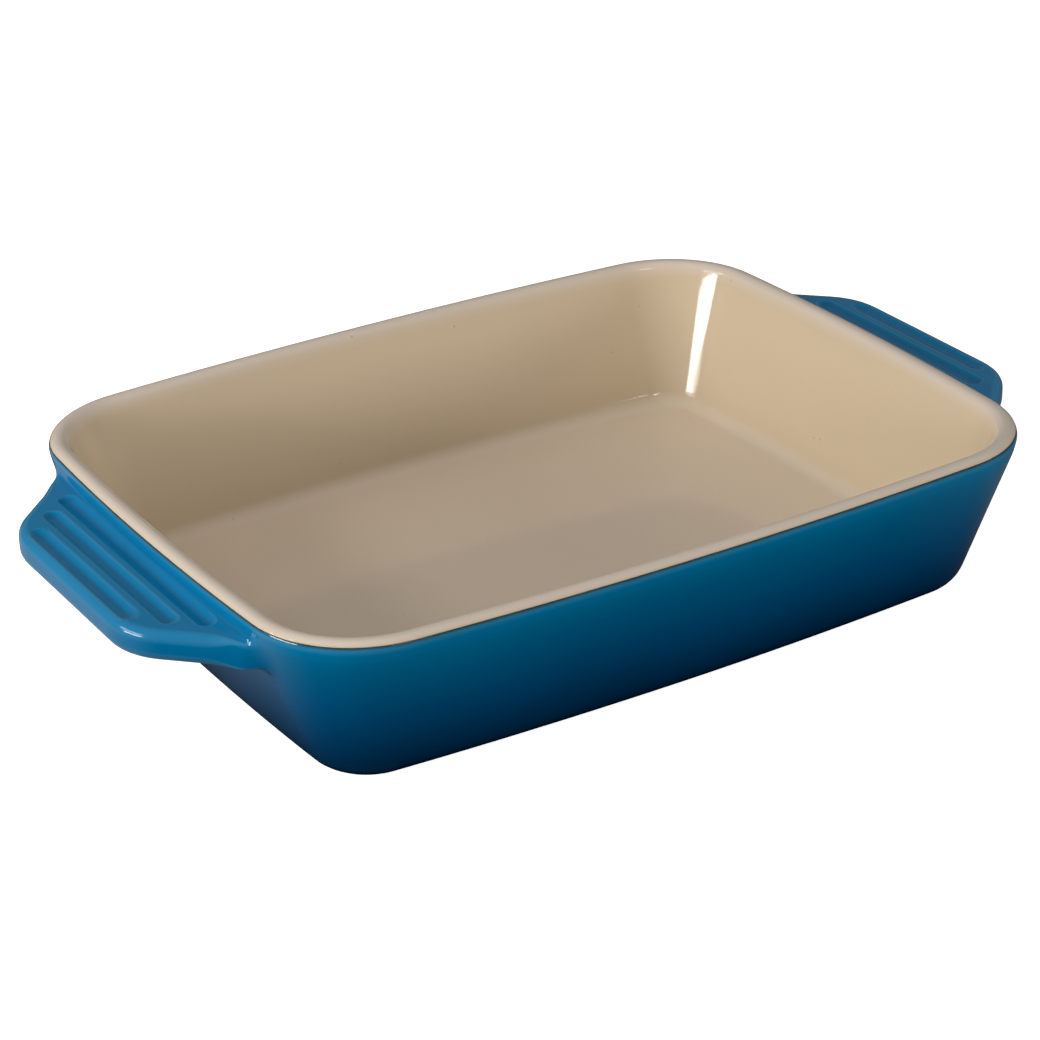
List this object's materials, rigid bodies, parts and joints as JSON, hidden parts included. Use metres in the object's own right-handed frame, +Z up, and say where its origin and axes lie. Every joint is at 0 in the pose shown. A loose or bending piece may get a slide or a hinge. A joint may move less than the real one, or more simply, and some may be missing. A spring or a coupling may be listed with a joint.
{
  "type": "rectangular baking dish",
  "caption": "Shallow rectangular glazed stoneware oven dish with sloping walls, a rounded rim and a fluted lug handle on each short end.",
  "frame": {"origin": "on the table plane, under the middle of the dish", "axes": "+X along the dish's length through both handles, +Y across its width, +Z up"},
  "size_m": [0.39, 0.2564, 0.068],
  "materials": {
    "stoneware": "matt fired clay",
    "cream_glaze": "satin gloss",
    "blue_glaze": "high gloss, darker towards the foot"
  },
  "bodies": {
    "root": {"stoneware_body": "stoneware", "handle_left": "stoneware", "handle_right": "stoneware", "interior_glaze": "cream_glaze", "exterior_glaze": "blue_glaze", "underside_glaze": "blue_glaze"}
  },
  "joints": []
}
